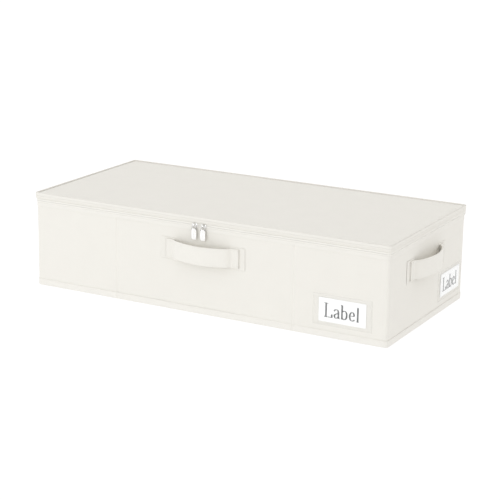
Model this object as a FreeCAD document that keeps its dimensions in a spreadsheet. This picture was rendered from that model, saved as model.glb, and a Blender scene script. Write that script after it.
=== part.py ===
import FreeCAD, Part
import math
import os

import Sketcher

V = FreeCAD.Vector
FRONT, BACK, LEFT, RIGHT = "front", "back", "left", "right"

# Driving dimensions in millimetres. X runs along the front, Y from front to back, Z up.
# The origin is the middle of the footprint, on the surface that the box stands on.
DIMENSIONS = {
    # box walls, from the outside in
    "boxLength": 744.0,
    "boxWidth": 349.0,
    "cornerRadius": 6.0,
    "sewnGap": 0.05,
    "wrapThickness": 0.9,
    "wrapTop": 165.5,
    "bottomThickness": 1.2,
    "boardThickness": 2.5,
    "boardInset": 1.7,
    "boardBottom": 1.5,
    "boardTop": 164.0,
    "boardEndGap": 6.0,
    "endBoardGap": 6.5,
    "creaseOffset": 187.0,
    "creaseGap": 3.0,
    "liningThickness": 0.6,
    "liningInset": 4.3,
    "liningTop": 164.5,
    # bindings
    "hemThickness": 0.7,
    "hemBottom": 0.4,
    "hemTop": 12.6,
    "rimThickness": 0.5,
    "rimBottom": 158.0,
    # loose base board
    "baseClearance": 1.6,
    "baseBottom": 1.5,
    "baseThickness": 3.0,
    "baseCoverThickness": 0.6,
    # zip
    "tapeInset": 1.0,
    "tapeThickness": 0.6,
    "lowerTapeBottom": 156.0,
    "lowerTapeTop": 167.5,
    "upperTapeBottom": 169.7,
    "upperTapeTop": 177.9,
    "teethDepth": 1.75,
    "teethHeight": 1.5,
    "lowerTeethBottom": 166.1,
    "upperTeethBottom": 169.6,
    "zipEnd": 166.0,
    # lid
    "lidLength": 750.0,
    "lidWidth": 354.9,
    "lidRadius": 7.0,
    "bandThickness": 0.9,
    "bandBottom": 173.0,
    "bandTop": 182.0,
    "bandLipHeight": 0.8,
    "bandLipReach": 3.9,
    "lidLiningBottom": 178.2,
    "lidLiningThickness": 0.7,
    "lidBoardBottom": 179.0,
    "lidBoardThickness": 3.0,
    "lidBoardInset": 2.0,
    "lidLiningInset": 2.5,
    "lidTopBottom": 182.1,
    "lidTopThickness": 0.8,
    "pipingWidth": 3.4,
    "pipingBottom": 182.05,
    "pipingTop": 185.0,
    "pipingRound": 1.2,
    # fabric hinge along the back
    "hingeLength": 700.0,
    "hingeThickness": 0.6,
    "hingeSewnHeight": 14.0,
    "hingeLeafHeight": 2.2,
    # handles
    "strapWidth": 36.0,
    "strapThickness": 2.6,
    "strapMiddle": 117.0,
    "strapRise": 18.0,
    "strapHalfLoop": 60.0,
    "strapHalfLength": 77.0,
    "strapFootRadius": 8.0,
    "strapShoulderRadius": 20.0,
    "strapFootAngle": 50.0,
    "sideStrapOffset": -10.5,
    "patchInner": 57.0,
    "patchOuter": 89.0,
    "patchHeight": 42.0,
    "patchThickness": 0.6,
    # label pockets and cards
    "pocketLength": 116.0,
    "pocketHeight": 58.0,
    "pocketThickness": 1.3,
    "pocketBottom": 22.0,
    "slotLength": 96.0,
    "slotDepth": 0.9,
    "slotFloor": 6.0,
    "cardLength": 92.0,
    "cardHeight": 44.0,
    "cardThickness": 0.3,
    "cardStandOff": 0.3,
    "cardBottom": 29.0,
    "frontPocketMiddle": 285.0,
    "sidePocketMiddle": 110.0,
    # zip sliders and their pulls
    "sliderSpacing": 18.8,
    "slidersMeet": -6.0,
    "chainHeight": 168.6,
    "wingLength": 12.0,
    "wingHeight": 8.2,
    "wingRadius": 3.6,
    "frontWingThickness": 1.4,
    "frontWingInset": -1.1,
    "backWingInset": 1.9,
    "backWingTrim": 0.5,
    "backWingThickness": 1.2,
    "postStart": 2.2,
    "postLength": 3.0,
    "postHeight": 1.4,
    "lugWidth": 2.6,
    "lugRadius": 2.3,
    "eyeRadius": 1.15,
    "eyeStandOff": 4.8,
    "eyeHeight": 0.8,
    "pullWidth": 10.4,
    "pullLength": 28.4,
    "pullThickness": 1.2,
    "pullBar": 1.5,
    "pullWindowLength": 7.0,
    "pullWindowWidth": 6.2,
    "pullRadius": 1.2,
}

doc = FreeCAD.newDocument("UnderBedBox")
sheet = doc.addObject("Spreadsheet::Sheet", "sizes")
for row, (alias, number) in enumerate(DIMENSIONS.items(), start=1):
    sheet.set(f"A{row}", alias)
    sheet.set(f"B{row}", str(number))
    sheet.setAlias(f"B{row}", alias)
doc.recompute()

nodes = []


def size(expression):
    """The number that an expression on the sheet's aliases gives."""
    return float(sheet.evalExpression(expression))


def bind(item, path, expression):
    """Bind one property of an object to an expression on the sheet's aliases."""
    item.setExpression(path, qualified(expression))


def qualified(expression):
    """The same expression with each alias written as the sheet's own."""
    words = sorted(DIMENSIONS, key=len, reverse=True)
    marked = expression
    for number, word in enumerate(words):
        marked = marked.replace(word, f"<{number}>")
    for number, word in enumerate(words):
        marked = marked.replace(f"<{number}>", f"sizes.{word}")
    return marked


def keep(item):
    nodes.append(item)
    return item


def plane_of(body, role):
    return next(f for f in body.Origin.OriginFeatures if f.Role == role)


def sketch_on(body, role, label, height):
    """A sketch parallel to one of the body's own planes, height away along its normal."""
    sketch = body.newObject("Sketcher::SketchObject", label)
    sketch.AttachmentSupport = [(plane_of(body, role), "")]
    sketch.MapMode = "FlatFace"
    bind(sketch, "AttachmentOffset.Base.z", height)
    return sketch


def distance(sketch, kind, first, second, expression):
    """A horizontal or vertical distance between two sketch points, bound to an expression."""
    index = sketch.addConstraint(Sketcher.Constraint(kind, *first, *second, size(expression)))
    bind(sketch, f"Constraints[{index}]", expression)


def rounded_rectangle(sketch, half_length, half_width, radius, middle=("0", "0")):
    """A rounded rectangle about a middle point, fully constrained, with its sizes bound."""
    a, b, r = size(half_length), size(half_width), size(radius)
    u, w = size(middle[0]), size(middle[1])
    turn = math.pi / 2
    corners = [(u + a - r, w - b + r), (u + a - r, w + b - r), (u - a + r, w + b - r), (u - a + r, w - b + r)]
    starts = [(u - a + r, w - b), (u + a, w - b + r), (u + a - r, w + b), (u - a, w + b - r)]
    ends = [(u + a - r, w - b), (u + a, w + b - r), (u - a + r, w + b), (u - a, w - b + r)]
    lines, arcs = [], []
    for number in range(4):
        lines.append(sketch.addGeometry(Part.LineSegment(V(*starts[number], 0), V(*ends[number], 0))))
        circle = Part.Circle(V(*corners[number], 0), V(0, 0, 1), r)
        arc = Part.ArcOfCircle(circle, (number - 1) * turn, number * turn)
        arcs.append(sketch.addGeometry(arc))
    for number in range(4):
        after = lines[(number + 1) % 4]
        sketch.addConstraint(Sketcher.Constraint("Tangent", lines[number], 2, arcs[number], 1))
        sketch.addConstraint(Sketcher.Constraint("Tangent", arcs[number], 2, after, 1))
        way = "Horizontal" if number % 2 == 0 else "Vertical"
        sketch.addConstraint(Sketcher.Constraint(way, lines[number]))
    for arc in arcs[1:]:
        sketch.addConstraint(Sketcher.Constraint("Equal", arcs[0], arc))
    index = sketch.addConstraint(Sketcher.Constraint("Radius", arcs[0], r))
    bind(sketch, f"Constraints[{index}]", radius)
    origin = (-1, 1)
    distance(sketch, "DistanceX", origin, (lines[1], 1), f"{middle[0]} + {half_length}")
    distance(sketch, "DistanceX", origin, (lines[3], 1), f"{middle[0]} - ({half_length})")
    distance(sketch, "DistanceY", origin, (lines[2], 1), f"{middle[1]} + {half_width}")
    distance(sketch, "DistanceY", origin, (lines[0], 1), f"{middle[1]} - ({half_width})")


def pad(body, sketch, length, label="Pad", midplane=False):
    feature = body.newObject("PartDesign::Pad", label)
    feature.Profile = sketch
    feature.Midplane = midplane
    bind(feature, "Length", length)
    return feature


def new_body(label):
    body = doc.addObject("PartDesign::Body", label)
    body.Label = label
    return keep(body)


def plate(label, half_length, half_width, radius, bottom, thickness):
    """A flat panel with rounded corners."""
    body = new_body(label)
    sketch = sketch_on(body, "XY_Plane", "Outline", bottom)
    rounded_rectangle(sketch, half_length, half_width, radius)
    pad(body, sketch, thickness)
    return body


def band(label, base, inset, thickness, bottom, top, radius, open_back=False):
    """A band around the box or the lid: inset from its outside, thickness inwards, bottom to top.

    With open_back it stops at zipEnd, so it covers the left, the front and the right only.
    """
    body = new_body(label)
    add_band(body, base, inset, thickness, bottom, f"{top} - ({bottom})", radius)
    if open_back:
        cut = sketch_on(body, "XY_Plane", "BackOpening", bottom)
        half = f"{base}Length / 2 + 2 * teethDepth"
        depth = f"({base}Width - zipEnd) / 2"
        middle = ("0", f"(zipEnd + {base}Width) / 2")
        rounded_rectangle(cut, half, depth, "sewnGap", middle)
        doc.recompute()
        before = body.Shape.Volume
        pocket = body.newObject("PartDesign::Pocket", "BackCut")
        pocket.Profile = cut
        pocket.Type = 1
        pocket.Reversed = True
        doc.recompute()
        if body.Shape.Volume >= before:
            raise RuntimeError(f"{label}: the cut at the back took nothing away")
    return body


def add_band(body, base, inset, thickness, bottom, height, radius):
    sketch = sketch_on(body, "XY_Plane", "Section", bottom)
    inner = f"{inset} + {thickness}"
    for step in (inset, inner):
        half_length = f"({base}Length / 2 - ({step}))"
        half_width = f"({base}Width / 2 - ({step}))"
        rounded_rectangle(sketch, half_length, half_width, f"({radius} - ({step}))")
    return pad(body, sketch, height)


def block(label, low, high):
    """A rectangular piece between two corners, each an (x, y, z) of expressions."""
    piece = doc.addObject("Part::Box", label)
    piece.Label = label
    for side, axis, start, end in zip(("Length", "Width", "Height"), "xyz", low, high):
        bind(piece, side, f"({end}) - ({start})")
        bind(piece, f"Placement.Base.{axis}", start)
    return piece


# ---- fabric shell of the box
band("outer_wrap", "box", "0", "wrapThickness", "bottomThickness", "wrapTop", "cornerRadius")
plate("bottom_panel", "boxLength / 2", "boxWidth / 2", "cornerRadius", "0", "bottomThickness")
band("inner_lining", "box", "liningInset", "liningThickness", "boardBottom", "liningTop",
     "(cornerRadius + 1)")
band("bottom_hem_binding", "box", "(0 - hemThickness - sewnGap)", "hemThickness", "hemBottom", "hemTop",
     "cornerRadius")
band("top_edge_binding", "box", "(0 - rimThickness - sewnGap)", "rimThickness", "rimBottom", "wrapTop",
     "cornerRadius")

# ---- stiffening boards in the walls: the long walls fold at two creases, so each has three boards
crease_near = "creaseOffset - creaseGap / 2"
crease_far = "creaseOffset + creaseGap / 2"
long_end = "boxLength / 2 - boardEndGap"
spans = {
    "left": (f"0 - ({long_end})", f"0 - ({crease_far})"),
    "middle": (f"0 - ({crease_near})", crease_near),
    "right": (crease_far, long_end),
}
outside = "boxWidth / 2 - boardInset"
inside = f"{outside} - boardThickness"
for wall, near, far in ((FRONT, f"0 - ({outside})", f"0 - ({inside})"), (BACK, inside, outside)):
    for part, (start, end) in spans.items():
        keep(block(f"{wall}_board_{part}", (start, near, "boardBottom"), (end, far, "boardTop")))

outside = "boxLength / 2 - boardInset"
inside = f"{outside} - boardThickness"
half_end = "boxWidth / 2 - endBoardGap"
for wall, near, far in ((LEFT, f"0 - ({outside})", f"0 - ({inside})"), (RIGHT, inside, outside)):
    low = (near, f"0 - ({half_end})", "boardBottom")
    keep(block(f"{wall}_end_board", low, (far, half_end, "boardTop")))

# ---- loose base board: a stiff core under a fabric cover that turns down over its edges
base_inset = "(liningInset + liningThickness + baseClearance)"
base_half_length = f"(boxLength / 2 - {base_inset})"
base_half_width = f"(boxWidth / 2 - {base_inset})"
core_inset = "(baseCoverThickness + sewnGap)"
plate("base_board_core", f"{base_half_length} - {core_inset}", f"{base_half_width} - {core_inset}",
      "cornerRadius / 2 - baseCoverThickness", "baseBottom", "baseThickness")
cover = new_body("base_board_cover")
top_skin = sketch_on(cover, "XY_Plane", "TopSkin", "baseBottom + baseThickness + sewnGap")
rounded_rectangle(top_skin, base_half_length, base_half_width, "cornerRadius / 2")
pad(cover, top_skin, "baseCoverThickness", "Top")
add_band(cover, "box", base_inset, "baseCoverThickness", "baseBottom", "baseThickness + sewnGap",
         f"({base_inset} + cornerRadius / 2)")

# ---- zip tapes and teeth, on three sides
band("lower_zip_tape", "box", "tapeInset", "tapeThickness", "lowerTapeBottom", "lowerTapeTop",
     "cornerRadius", open_back=True)
band("upper_zip_tape", "box", "tapeInset", "tapeThickness", "upperTapeBottom", "upperTapeTop",
     "cornerRadius", open_back=True)
for row in ("lower", "upper"):
    foot = f"{row}TeethBottom"
    band(f"{row}_zip_teeth", "box", "(tapeInset - sewnGap - teethDepth)", "teethDepth", foot,
         f"({foot} + teethHeight)", "cornerRadius", open_back=True)

# ---- lid: board between top fabric and lining, side band with an inward lip, raised edge piping
for label, inset, foot, thickness in (
    ("lid_lining", "lidLiningInset", "lidLiningBottom", "lidLiningThickness"),
    ("lid_board", "lidBoardInset", "lidBoardBottom", "lidBoardThickness"),
    ("lid_top_fabric", "pipingWidth + sewnGap", "lidTopBottom", "lidTopThickness"),
):
    plate(label, f"lidLength / 2 - ({inset})", f"lidWidth / 2 - ({inset})", f"lidRadius - ({inset})",
          foot, thickness)
side_band = band("lid_side_band", "lid", "0", "bandThickness", "bandBottom", "bandTop", "lidRadius")
add_band(side_band, "lid", "(bandThickness / 2)", "(bandLipReach - bandThickness / 2)", "bandBottom",
         "bandLipHeight", "lidRadius")
piping = band("lid_edge_piping", "lid", "0", "pipingWidth", "pipingBottom", "pipingTop", "lidRadius")
doc.recompute()
top_edges = [
    f"Edge{number}"
    for number, edge in enumerate(piping.Shape.Edges, start=1)
    if all(abs(vertex.Z - size("pipingTop")) < 1e-6 for vertex in edge.Vertexes)
]
straight_sided = piping.Tip
rounding = piping.newObject("PartDesign::Fillet", "TopRounding")
rounding.Base = (straight_sided, top_edges)
bind(rounding, "Radius", "pipingRound")

# ---- fabric hinge: a lower leaf sewn to the back wall and an upper leaf on the lid's band
hinge_line = size("lidWidth / 2")
fold_height = size("(wrapTop + bandBottom + (chainHeight - wrapTop) / 2) / 2")
wall_face = size("boxWidth / 2 + rimThickness + 2 * sewnGap")
sewn_foot = size("rimBottom - hingeSewnHeight")
leaf = size("hingeThickness")
lower_leaf = new_body("hinge_strip_lower")
profile = sketch_on(lower_leaf, "YZ_Plane", "Profile", "0")
outline = [
    V(wall_face, sewn_foot, 0),
    V(wall_face + leaf, sewn_foot, 0),
    V(wall_face + leaf, size("wrapTop"), 0),
    V(hinge_line - leaf / 2, fold_height - leaf, 0),
    V(hinge_line - leaf / 2 - leaf, fold_height - leaf, 0),
    V(wall_face, size("wrapTop"), 0),
]


def closed_outline(sketch, points):
    """Draws straight edges through the points and back to the first, joined end to end."""
    edges = [
        sketch.addGeometry(Part.LineSegment(start, end))
        for start, end in zip(points, points[1:] + points[:1])
    ]
    for edge, after in zip(edges, edges[1:] + edges[:1]):
        sketch.addConstraint(Sketcher.Constraint("Coincident", edge, 2, after, 1))


closed_outline(profile, outline)
pad(lower_leaf, profile, "hingeLength", midplane=True)
keep(block(
    "hinge_strip_upper",
    ("0 - hingeLength / 2", "lidWidth / 2 - hingeThickness - sewnGap", "bandBottom - hingeLeafHeight"),
    ("hingeLength / 2", "lidWidth / 2 - sewnGap", "bandBottom"),
))


# ---- handles: a folded strap on two backing patches, the same on the front and on both ends
def strap_curve(offset):
    """Arc ends and middles of one face of the strap, offset outwards from its inner face."""
    foot, shoulder = size("strapFootRadius"), size("strapShoulderRadius")
    steep = math.radians(size("strapFootAngle"))
    reach = size("strapHalfLoop") - (foot + shoulder) * math.sin(steep)
    climb = size("strapRise") - (foot + shoulder) * (1 - math.cos(steep))
    shallow = 2 * math.atan2(climb, reach)
    crown = shoulder + reach / math.sin(shallow)
    first = V(size("strapHalfLoop"), foot, 0)
    second = first - V(math.sin(steep), math.cos(steep), 0) * (foot + shoulder)
    third = second - V(math.sin(shallow), math.cos(shallow), 0) * (crown - shoulder)

    def on(centre, radius, angle):
        return centre + V(math.sin(angle), math.cos(angle), 0) * radius

    under = foot - offset
    arcs = [
        [on(first, -under, angle) for angle in (0, steep / 2, steep)],
        [on(second, shoulder + offset, angle) for angle in (steep, (steep + shallow) / 2, shallow)],
        [on(third, crown + offset, angle) for angle in (shallow, 0, -shallow)],
    ]
    mirrored = [[V(-p.x, p.y, 0) for p in reversed(arc)] for arc in reversed(arcs[:2])]
    return arcs + mirrored


def handle(label, middle, turn):
    """The strap of one handle and its two patches, at a wall point, facing away from the wall."""
    place = FreeCAD.Placement(middle, FreeCAD.Rotation(V(0, 0, 1), turn))
    strap = new_body(f"{label}_handle_strap")
    sketch = sketch_on(strap, "XY_Plane", "Curve", "0")
    lift, end = size("patchThickness + 2 * sewnGap"), size("strapHalfLength")
    thick, loop = size("strapThickness"), size("strapHalfLoop")
    raised = V(0, lift, 0)
    inner, outer = strap_curve(0), strap_curve(thick)
    route = [Part.LineSegment(V(end, 0, 0) + raised, V(loop, 0, 0) + raised)]
    route += [Part.Arc(*(p + raised for p in arc)) for arc in inner]
    route.append(Part.LineSegment(V(-loop, 0, 0) + raised, V(-end, 0, 0) + raised))
    route.append(Part.LineSegment(V(-end, 0, 0) + raised, V(-end, thick, 0) + raised))
    route.append(Part.LineSegment(V(-end, thick, 0) + raised, V(-loop, thick, 0) + raised))
    route += [Part.Arc(*(p + raised for p in reversed(arc))) for arc in reversed(outer)]
    route.append(Part.LineSegment(V(loop, thick, 0) + raised, V(end, thick, 0) + raised))
    route.append(Part.LineSegment(V(end, thick, 0) + raised, V(end, 0, 0) + raised))
    for piece in route:
        sketch.addGeometry(piece)
    pad(strap, sketch, "strapWidth", midplane=True)
    strap.Placement = place

    patches = new_body(f"{label}_handle_patches")
    outline = sketch_on(patches, "XZ_Plane", "Patches", "0 - patchThickness - sewnGap")
    for side in ("1", "0 - 1"):
        middle_of_patch = f"({side}) * (patchInner + patchOuter) / 2"
        rounded_rectangle(outline, "(patchOuter - patchInner) / 2", "patchHeight / 2", "cornerRadius / 3",
                          (middle_of_patch, "0"))
    pad(patches, outline, "patchThickness")
    patches.Placement = place


strap_height = size("strapMiddle")
handle("front", V(0, -size("boxWidth / 2"), strap_height), 180)
handle("left", V(-size("boxLength / 2"), size("sideStrapOffset"), strap_height), 90)
handle("right", V(size("boxLength / 2"), size("sideStrapOffset"), strap_height), -90)


# ---- label pockets: a clear film sewn on three sides and open at the top, with a card in it
def label_pocket(label, place):
    film = doc.addObject("Part::Box", f"{label}_film")
    slot = doc.addObject("Part::Box", f"{label}_slot")
    bind(film, "Length", "pocketLength")
    bind(film, "Width", "pocketThickness")
    bind(film, "Height", "pocketHeight")
    bind(film, "Placement.Base.x", "0 - pocketLength / 2")
    bind(film, "Placement.Base.y", "sewnGap")
    bind(film, "Placement.Base.z", "pocketBottom")
    bind(slot, "Length", "slotLength")
    bind(slot, "Width", "slotDepth")
    bind(slot, "Height", "pocketHeight")
    bind(slot, "Placement.Base.x", "0 - slotLength / 2")
    bind(slot, "Placement.Base.z", "pocketBottom + slotFloor")
    pocket = doc.addObject("Part::Cut", f"{label}_label_pocket")
    pocket.Label = f"{label}_label_pocket"
    pocket.Base, pocket.Tool = film, slot
    pocket.Placement = place
    keep(pocket)

    card = doc.addObject("Part::Box", f"{label}_label_card")
    card.Label = f"{label}_label_card"
    bind(card, "Length", "cardLength")
    bind(card, "Width", "cardThickness")
    bind(card, "Height", "cardHeight")
    corner = V(-size("cardLength") / 2, size("cardStandOff"), size("cardBottom"))
    card.Placement = place.multiply(FreeCAD.Placement(corner, FreeCAD.Rotation()))
    keep(card)


label_pocket("front", FreeCAD.Placement(
    V(size("frontPocketMiddle"), -size("boxWidth / 2"), 0), FreeCAD.Rotation(V(0, 0, 1), 180)))
label_pocket("right", FreeCAD.Placement(
    V(size("boxLength / 2"), size("sidePocketMiddle"), 0), FreeCAD.Rotation(V(0, 0, 1), -90)))


# ---- zip sliders: two wings joined by a post between the rows of teeth, and a lug for the pull
def slider(label, side):
    """One slider; side is -1 for the left one and 1 for the right, and its post points inwards."""
    middle = size("slidersMeet") + side * size("sliderSpacing / 2")
    body = new_body(f"{label}_slider")
    wing_back = "(boxWidth / 2 - frontWingInset)"
    inner_back = "(boxWidth / 2 - backWingInset - backWingThickness)"
    front = sketch_on(body, "XZ_Plane", "FrontWing", wing_back)
    rounded_rectangle(front, "wingLength / 2", "wingHeight / 2", "wingRadius")
    pad(body, front, "frontWingThickness", "Front")
    post = sketch_on(body, "XZ_Plane", "Post", inner_back)
    inwards = "1" if side < 0 else "0 - 1"
    rounded_rectangle(post, "postLength / 2", "postHeight / 2", "postHeight / 4",
                      (f"({inwards}) * (postStart + postLength / 2)", "0"))
    pad(body, post, f"{wing_back} - {inner_back} + sewnGap", "Divider")
    back = sketch_on(body, "XZ_Plane", "BackWing", inner_back)
    rounded_rectangle(back, "wingLength / 2 - backWingTrim", "wingHeight / 2", "wingRadius")
    pad(body, back, "backWingThickness", "Back")
    lug = sketch_on(body, "YZ_Plane", "Lug", "0")
    outward, height, radius = -size("boxWidth / 2 + eyeStandOff"), size("eyeHeight"), size("lugRadius")
    root = -size(f"{wing_back} + frontWingThickness / 2")
    top, bottom = V(outward, height + radius, 0), V(outward, height - radius, 0)
    lug.addGeometry(Part.Arc(top, V(outward - radius, height, 0), bottom))
    lug.addGeometry(Part.LineSegment(bottom, V(root, bottom.y, 0)))
    lug.addGeometry(Part.LineSegment(V(root, bottom.y, 0), V(root, top.y, 0)))
    lug.addGeometry(Part.LineSegment(V(root, top.y, 0), top))
    eye = lug.addGeometry(Part.Circle(V(outward, height, 0), V(0, 0, 1), size("eyeRadius")))
    index = lug.addConstraint(Sketcher.Constraint("Radius", eye, size("eyeRadius")))
    bind(lug, f"Constraints[{index}]", "eyeRadius")
    pad(body, lug, "lugWidth", "Crown", midplane=True)
    body.Placement = FreeCAD.Placement(V(middle, 0, size("chainHeight")), FreeCAD.Rotation())


def pull(label, side):
    """One pull: a plate with a window at its top, whose upper bar runs through the slider's lug."""
    middle = size("slidersMeet") + side * size("sliderSpacing / 2")
    body = new_body(f"{label}_zip_pull")
    sketch = sketch_on(body, "XZ_Plane", "Plate", "0 - pullThickness / 2")
    rounded_rectangle(sketch, "pullWidth / 2", "pullLength / 2", "pullRadius",
                      ("0", "pullBar / 2 - pullLength / 2"))
    window_middle = "0 - pullBar / 2 - pullWindowLength / 2"
    rounded_rectangle(sketch, "pullWindowWidth / 2", "pullWindowLength / 2", "pullRadius / 2",
                      ("0", window_middle))
    pad(body, sketch, "pullThickness")
    at = V(middle, -size("boxWidth / 2 + eyeStandOff"), size("chainHeight + eyeHeight"))
    body.Placement = FreeCAD.Placement(at, FreeCAD.Rotation())


for label, side in ((LEFT, -1), (RIGHT, 1)):
    slider(label, side)
    pull(label, side)

doc.recompute()
failed = [item.Label for item in doc.Objects if {"Invalid", "Error"} & set(item.State)]
if failed:
    raise RuntimeError(f"these objects failed to recompute: {failed}")
for item in nodes:
    if item.Shape.isNull() or not item.Shape.isValid():
        raise RuntimeError(f"{item.Label} has no valid shape")

os.makedirs("parts", exist_ok=True)
for item in nodes:
    item.Shape.exportStep(f"parts/{item.Label}.step")
    box = item.Shape.BoundBox
    print(f"{item.Label:24s} {item.Shape.Volume / 1000:9.2f} cm3  "
          f"X {box.XMin:7.1f} {box.XMax:7.1f}  Y {box.YMin:7.1f} {box.YMax:7.1f}  "
          f"Z {box.ZMin:6.1f} {box.ZMax:6.1f}  solids {len(item.Shape.Solids)}")
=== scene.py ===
import math

import bpy
import numpy as np
from mathutils import Matrix, Vector, noise


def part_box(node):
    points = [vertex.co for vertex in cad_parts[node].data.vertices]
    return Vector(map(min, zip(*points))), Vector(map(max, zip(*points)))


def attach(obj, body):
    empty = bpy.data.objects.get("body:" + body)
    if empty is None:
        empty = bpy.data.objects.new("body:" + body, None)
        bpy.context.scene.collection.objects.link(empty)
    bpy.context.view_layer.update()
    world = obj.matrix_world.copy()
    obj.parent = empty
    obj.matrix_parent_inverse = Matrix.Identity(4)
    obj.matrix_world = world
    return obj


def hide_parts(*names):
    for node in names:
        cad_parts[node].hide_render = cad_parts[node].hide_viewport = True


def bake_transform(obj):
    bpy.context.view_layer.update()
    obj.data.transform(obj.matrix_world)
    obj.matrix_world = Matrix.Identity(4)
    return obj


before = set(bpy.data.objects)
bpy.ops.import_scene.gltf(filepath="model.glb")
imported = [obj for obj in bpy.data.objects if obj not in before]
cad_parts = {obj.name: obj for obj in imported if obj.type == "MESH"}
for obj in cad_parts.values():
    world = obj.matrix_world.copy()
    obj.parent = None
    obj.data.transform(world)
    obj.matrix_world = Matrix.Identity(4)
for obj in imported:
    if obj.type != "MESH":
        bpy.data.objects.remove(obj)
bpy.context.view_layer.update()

mm = 0.001
scene = bpy.context.scene


def half(node):
    low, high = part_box(node)
    return (high - low) / 2


def heights(node):
    low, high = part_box(node)
    return low.z, high.z


# Shader maths: a socket that takes part in ordinary expressions.
class Wire:
    def __init__(self, finish, socket):
        self.finish, self.socket = finish, socket

    def maths(self, operation, *others, swap=False):
        values = [self, *others]
        if swap:
            values.reverse()
        return self.finish.node("ShaderNodeMath", {"operation": operation}, dict(enumerate(values)))

    def __add__(self, other):
        return self.maths("ADD", other)

    def __sub__(self, other):
        return self.maths("SUBTRACT", other)

    def __rsub__(self, other):
        return self.maths("SUBTRACT", other, swap=True)

    def __mul__(self, other):
        return self.maths("MULTIPLY", other)

    __radd__ = __add__
    __rmul__ = __mul__


class Finish:
    def __init__(self, name, **fixed):
        self.material = bpy.data.materials.new(name)
        self.material.use_nodes = True
        self.shader = self.material.node_tree.nodes["Principled BSDF"]
        for socket, value in fixed.items():
            self.shader.inputs[socket.replace("_", " ")].default_value = value

    def node(self, kind, settings=None, inputs=None, out=0):
        made = self.material.node_tree.nodes.new(kind)
        for key, value in (settings or {}).items():
            setattr(made, key, value)
        for key, value in (inputs or {}).items():
            self.join(value, made.inputs[key])
        return Wire(self, made.outputs[out])

    def join(self, value, socket):
        if isinstance(value, Wire):
            self.material.node_tree.links.new(value.socket, socket)
        else:
            socket.default_value = value

    def feed(self, socket, value):
        self.join(value, self.shader.inputs[socket])

    def cloth(self):
        return self.node("ShaderNodeUVMap", {"uv_map": "cloth"})

    def place(self):
        return self.node("ShaderNodeTexCoord", out=3)

    def parts(self, vector):
        split = self.node("ShaderNodeSeparateXYZ", inputs={"Vector": vector})
        return [Wire(self, socket) for socket in split.socket.node.outputs]

    def scaled(self, vector, scale):
        return self.node("ShaderNodeMapping", inputs={"Vector": vector, "Scale": scale})

    def grain(self, vector, scale, detail=2.0):
        return self.node("ShaderNodeTexNoise", inputs={"Vector": vector, "Scale": scale, "Detail": detail})

    def mix(self, factor, first, second):
        return self.node("ShaderNodeMix", {"data_type": "RGBA"}, {0: factor, 6: first, 7: second}, out=2)

    def relief(self, height, depth, strength=1.0):
        self.feed("Normal", self.node("ShaderNodeBump", inputs={
            "Height": height, "Distance": depth, "Strength": strength}))


def shade(colour, by):
    return (*(channel * by for channel in colour), 1.0)


def clothFinish(name, look):
    finish = Finish(name, Sheen_Weight=look["sheen"], Sheen_Roughness=0.6)
    run = finish.cloth()
    across, along, _ = finish.parts(run)
    turn = 2 * math.pi / look["pitch"]
    weave = (across * turn).maths("SINE") * (along * turn).maths("SINE")
    if look.get("twill"):
        weave = ((across + along) * turn).maths("SINE")
    warp = finish.grain(finish.scaled(run, (1 / look["pitch"], 14, 1)), 1.0)
    weft = finish.grain(finish.scaled(run, (14, 1 / look["pitch"], 1)), 1.0)
    slubs = warp + weft - 1.0
    blotch = finish.grain(run, look["blotch"], 3.0)
    tone = (blotch - 0.5) * look["mottle"] + slubs * look["mottle"] * 0.6 + 0.5
    finish.feed("Base Color", finish.mix(tone, shade(look["colour"], 0.955), shade(look["colour"], 1.045)))
    finish.feed("Roughness", slubs * 0.12 + look["rough"])
    finish.relief(weave * 0.5 + slubs * look["slub"], look["relief"])
    return finish.material


cream = (0.806, 0.783, 0.730)
cloths = {
    "coverFabric": {"colour": cream, "pitch": 0.9 * mm, "blotch": 22, "mottle": 0.35, "slub": 1.0,
                    "relief": 0.10 * mm, "rough": 0.88, "sheen": 0.05},
    "liningFabric": {"colour": (0.76, 0.745, 0.70), "pitch": 1.6 * mm, "blotch": 30, "mottle": 0.6,
                     "slub": 0.6, "relief": 0.14 * mm, "rough": 0.8, "sheen": 0.03},
    "bindingFabric": {"colour": (0.815, 0.792, 0.742), "pitch": 0.7 * mm, "blotch": 40, "mottle": 0.4,
                      "slub": 0.7, "relief": 0.09 * mm, "rough": 0.82, "sheen": 0.05},
    "strapFabric": {"colour": (0.815, 0.792, 0.740), "pitch": 0.9 * mm, "blotch": 40, "mottle": 0.4,
                    "slub": 1.2, "relief": 0.10 * mm, "rough": 0.86, "sheen": 0.05},
    # zip tape: its own cream, raised about 7% above the cover's cream as painted light that lifts the shade
    # under the lid band's overhang
    "zipTapeFabric": {"colour": (0.86, 0.838, 0.785), "pitch": 1.1 * mm, "blotch": 60, "mottle": 0.6,
                      "slub": 0.5, "relief": 0.12 * mm, "rough": 0.8, "sheen": 0.04, "twill": True},
}
finishes = {name: clothFinish(name, look) for name, look in cloths.items()}


def boardFinish():
    finish = Finish("stiffeningBoard")
    place = finish.place()
    fibres = finish.grain(finish.scaled(place, (260, 900, 260)), 1.0, 4.0)
    blotch = finish.grain(place, 35.0, 3.0)
    tone = fibres * 0.6 + blotch * 0.4
    finish.feed("Base Color", finish.mix(tone, (0.36, 0.30, 0.22, 1), (0.55, 0.48, 0.38, 1)))
    finish.feed("Roughness", fibres * 0.2 + 0.75)
    finish.relief(fibres, 0.15 * mm)
    return finish.material


def nickelFinish():
    finish = Finish("brightNickel", Metallic=1.0, Coat_Roughness=0.1)
    place = finish.place()
    brushed = finish.grain(finish.scaled(place, (5200, 5200, 320)), 1.0, 2.0)
    wear = finish.grain(place, 420.0, 3.0)
    finish.feed("Base Color", finish.mix(wear, (0.80, 0.79, 0.77, 1), (0.93, 0.925, 0.91, 1)))
    finish.feed("Roughness", wear * 0.14 + 0.18)
    finish.relief(brushed, 0.01 * mm, 0.5)
    return finish.material


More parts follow.
